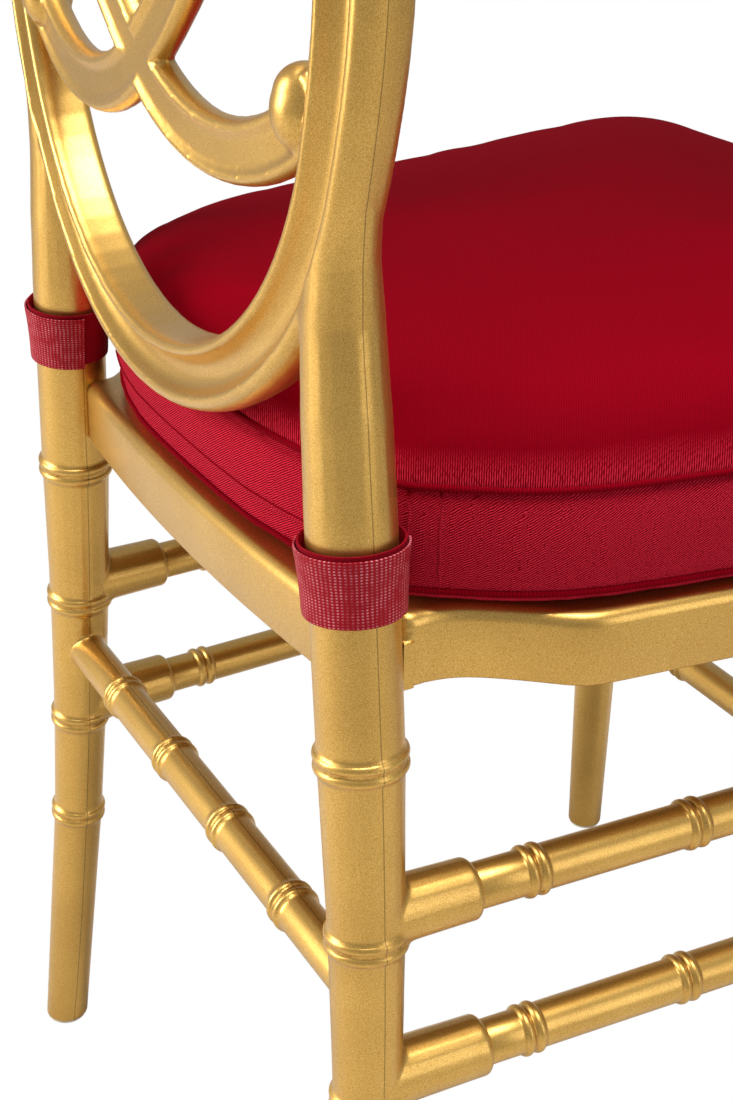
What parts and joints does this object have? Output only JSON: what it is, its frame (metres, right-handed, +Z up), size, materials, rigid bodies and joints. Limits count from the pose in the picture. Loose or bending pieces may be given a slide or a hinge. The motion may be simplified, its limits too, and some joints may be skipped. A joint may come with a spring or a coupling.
{
  "type": "banquet chair",
  "caption": "Resin banquet chair with an oval ring back, a scroll and ribbon loop in the ring, bamboo-ringed legs and rungs, and a strapped box cushion.",
  "frame": {"origin": "on the floor, under the middle of the whole chair's bounding box", "axes": "+Z up, -Y towards the front of the seat, +X towards the sitter's left"},
  "size_m": [0.4466, 0.4268, 0.9128],
  "materials": {
    "gold_resin": "satin metallic gold paint on moulded resin",
    "crimson_cloth": "woven twill",
    "foam": "open-cell foam",
    "loop_tape": "brushed loop tape",
    "hook_tape": "woven hook tape",
    "steel": "zinc-plated",
    "brass_insert": "turned",
    "nylon": "moulded"
  },
  "bodies": {
    "root": {"back_frame": "gold_resin", "seat_frame": "gold_resin", "front_leg_left": "gold_resin", "front_leg_right": "gold_resin", "side_rung_upper_left": "gold_resin", "side_rung_upper_right": "gold_resin", "side_rung_lower_left": "gold_resin", "side_rung_lower_right": "gold_resin", "front_rung_upper": "gold_resin", "front_rung_lower": "gold_resin", "seat_bolts": "steel", "seat_bolt_inserts": "brass_insert", "front_leg_bolts": "steel", "front_leg_inserts": "brass_insert", "glide_rear_left": "nylon", "glide_rear_right": "nylon", "glide_front_left": "nylon", "glide_front_right": "nylon", "cushion_cover": "crimson_cloth", "cushion_foam": "foam", "strap_inner_left": "loop_tape", "strap_inner_right": "loop_tape", "strap_outer_left": "hook_tape", "strap_outer_right": "hook_tape"}
  },
  "joints": []
}
